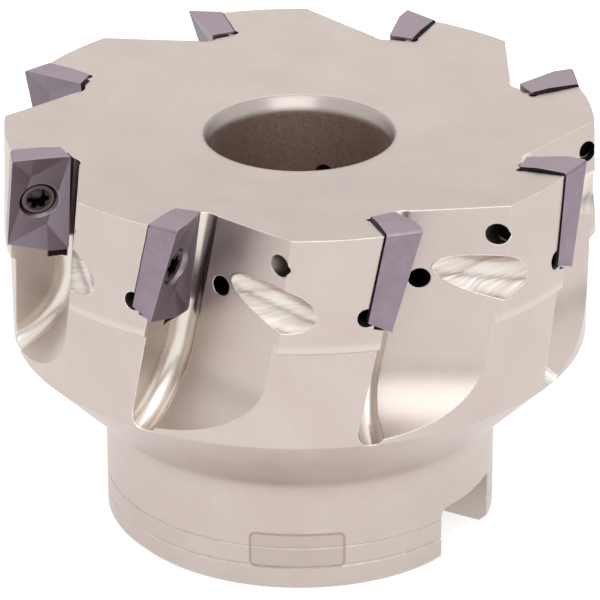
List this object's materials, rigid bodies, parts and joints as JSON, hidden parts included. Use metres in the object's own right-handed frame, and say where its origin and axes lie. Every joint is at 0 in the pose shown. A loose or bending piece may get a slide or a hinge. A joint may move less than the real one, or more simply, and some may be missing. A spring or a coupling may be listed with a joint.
{
  "type": "face mill",
  "caption": "Round face milling cutter: indexable inserts clamped by screws in pockets round the cutting face, chip flutes, a stepped arbor bore and a driving keyway across the mounting face.",
  "frame": {"origin": "centre of the mounting face on the cutter's axis", "axes": "+Z along the cutter's axis from the mounting face to the cutting face, X along the driving keyway"},
  "size_m": [0.0628, 0.0628, 0.045],
  "materials": {
    "body_steel": "satin nickel-plated tool steel, blasted",
    "coated_carbide": "satin purple-grey coated carbide",
    "screw_steel": "dark oiled screw steel"
  },
  "bodies": {
    "cutter": {"cutter_body": "body_steel"},
    "insert_1": {"insert_1": "coated_carbide"},
    "screw_1": {"insert_screw_1": "screw_steel"},
    "insert_2": {"insert_2": "coated_carbide"},
    "screw_2": {"insert_screw_2": "screw_steel"},
    "insert_3": {"insert_3": "coated_carbide"},
    "screw_3": {"insert_screw_3": "screw_steel"},
    "insert_4": {"insert_4": "coated_carbide"},
    "screw_4": {"insert_screw_4": "screw_steel"},
    "insert_5": {"insert_5": "coated_carbide"},
    "screw_5": {"insert_screw_5": "screw_steel"},
    "insert_6": {"insert_6": "coated_carbide"},
    "screw_6": {"insert_screw_6": "screw_steel"},
    "insert_7": {"insert_7": "coated_carbide"},
    "screw_7": {"insert_screw_7": "screw_steel"},
    "insert_8": {"insert_8": "coated_carbide"},
    "screw_8": {"insert_screw_8": "screw_steel"}
  },
  "joints": [
    {"name": "insert_1_lift", "type": "slide", "parent": "cutter", "child": "insert_1", "axis": [-0.0085, 0.9781, -0.2079], "range_m": [0, 0.0016]},
    {"name": "screw_1_turn", "type": "hinge", "parent": "insert_1", "child": "screw_1", "pos_m": [0.02818, -0.00066, 0.03999], "axis": [-0.0085, 0.9781, -0.2079], "range_deg": [0, 1285]},
    {"name": "insert_2_lift", "type": "slide", "parent": "cutter", "child": "insert_2", "axis": [-0.6977, 0.6856, -0.2079], "range_m": [0, 0.0016]},
    {"name": "screw_2_turn", "type": "hinge", "parent": "insert_2", "child": "screw_2", "pos_m": [0.02039, 0.01946, 0.03999], "axis": [-0.6977, 0.6856, -0.2079], "range_deg": [0, 1285]},
    {"name": "insert_3_lift", "type": "slide", "parent": "cutter", "child": "insert_3", "axis": [-0.9781, -0.0085, -0.2079], "range_m": [0, 0.0016]},
    {"name": "screw_3_turn", "type": "hinge", "parent": "insert_3", "child": "screw_3", "pos_m": [0.00066, 0.02818, 0.03999], "axis": [-0.9781, -0.0085, -0.2079], "range_deg": [0, 1285]},
    {"name": "insert_4_lift", "type": "slide", "parent": "cutter", "child": "insert_4", "axis": [-0.6856, -0.6977, -0.2079], "range_m": [0, 0.0016]},
    {"name": "screw_4_turn", "type": "hinge", "parent": "insert_4", "child": "screw_4", "pos_m": [-0.01946, 0.02039, 0.03999], "axis": [-0.6856, -0.6977, -0.2079], "range_deg": [0, 1285]},
    {"name": "insert_5_lift", "type": "slide", "parent": "cutter", "child": "insert_5", "axis": [0.0085, -0.9781, -0.2079], "range_m": [0, 0.0016]},
    {"name": "screw_5_turn", "type": "hinge", "parent": "insert_5", "child": "screw_5", "pos_m": [-0.02818, 0.00066, 0.03999], "axis": [0.0085, -0.9781, -0.2079], "range_deg": [0, 1285]},
    {"name": "insert_6_lift", "type": "slide", "parent": "cutter", "child": "insert_6", "axis": [0.6977, -0.6856, -0.2079], "range_m": [0, 0.0016]},
    {"name": "screw_6_turn", "type": "hinge", "parent": "insert_6", "child": "screw_6", "pos_m": [-0.02039, -0.01946, 0.03999], "axis": [0.6977, -0.6856, -0.2079], "range_deg": [0, 1285]},
    {"name": "insert_7_lift", "type": "slide", "parent": "cutter", "child": "insert_7", "axis": [0.9781, 0.0085, -0.2079], "range_m": [0, 0.0016]},
    {"name": "screw_7_turn", "type": "hinge", "parent": "insert_7", "child": "screw_7", "pos_m": [-0.00066, -0.02818, 0.03999], "axis": [0.9781, 0.0085, -0.2079], "range_deg": [0, 1285]},
    {"name": "insert_8_lift", "type": "slide", "parent": "cutter", "child": "insert_8", "axis": [0.6856, 0.6977, -0.2079], "range_m": [0, 0.0016]},
    {"name": "screw_8_turn", "type": "hinge", "parent": "insert_8", "child": "screw_8", "pos_m": [0.01946, -0.02039, 0.03999], "axis": [0.6856, 0.6977, -0.2079], "range_deg": [0, 1285]}
  ],
  "couplings": [
    {"joint": "screw_1_turn", "follows": "insert_1_lift", "rad_per_m": 13963},
    {"joint": "screw_2_turn", "follows": "insert_2_lift", "rad_per_m": 13963},
    {"joint": "screw_3_turn", "follows": "insert_3_lift", "rad_per_m": 13963},
    {"joint": "screw_4_turn", "follows": "insert_4_lift", "rad_per_m": 13963},
    {"joint": "screw_5_turn", "follows": "insert_5_lift", "rad_per_m": 13963},
    {"joint": "screw_6_turn", "follows": "insert_6_lift", "rad_per_m": 13963},
    {"joint": "screw_7_turn", "follows": "insert_7_lift", "rad_per_m": 13963},
    {"joint": "screw_8_turn", "follows": "insert_8_lift", "rad_per_m": 13963}
  ]
}
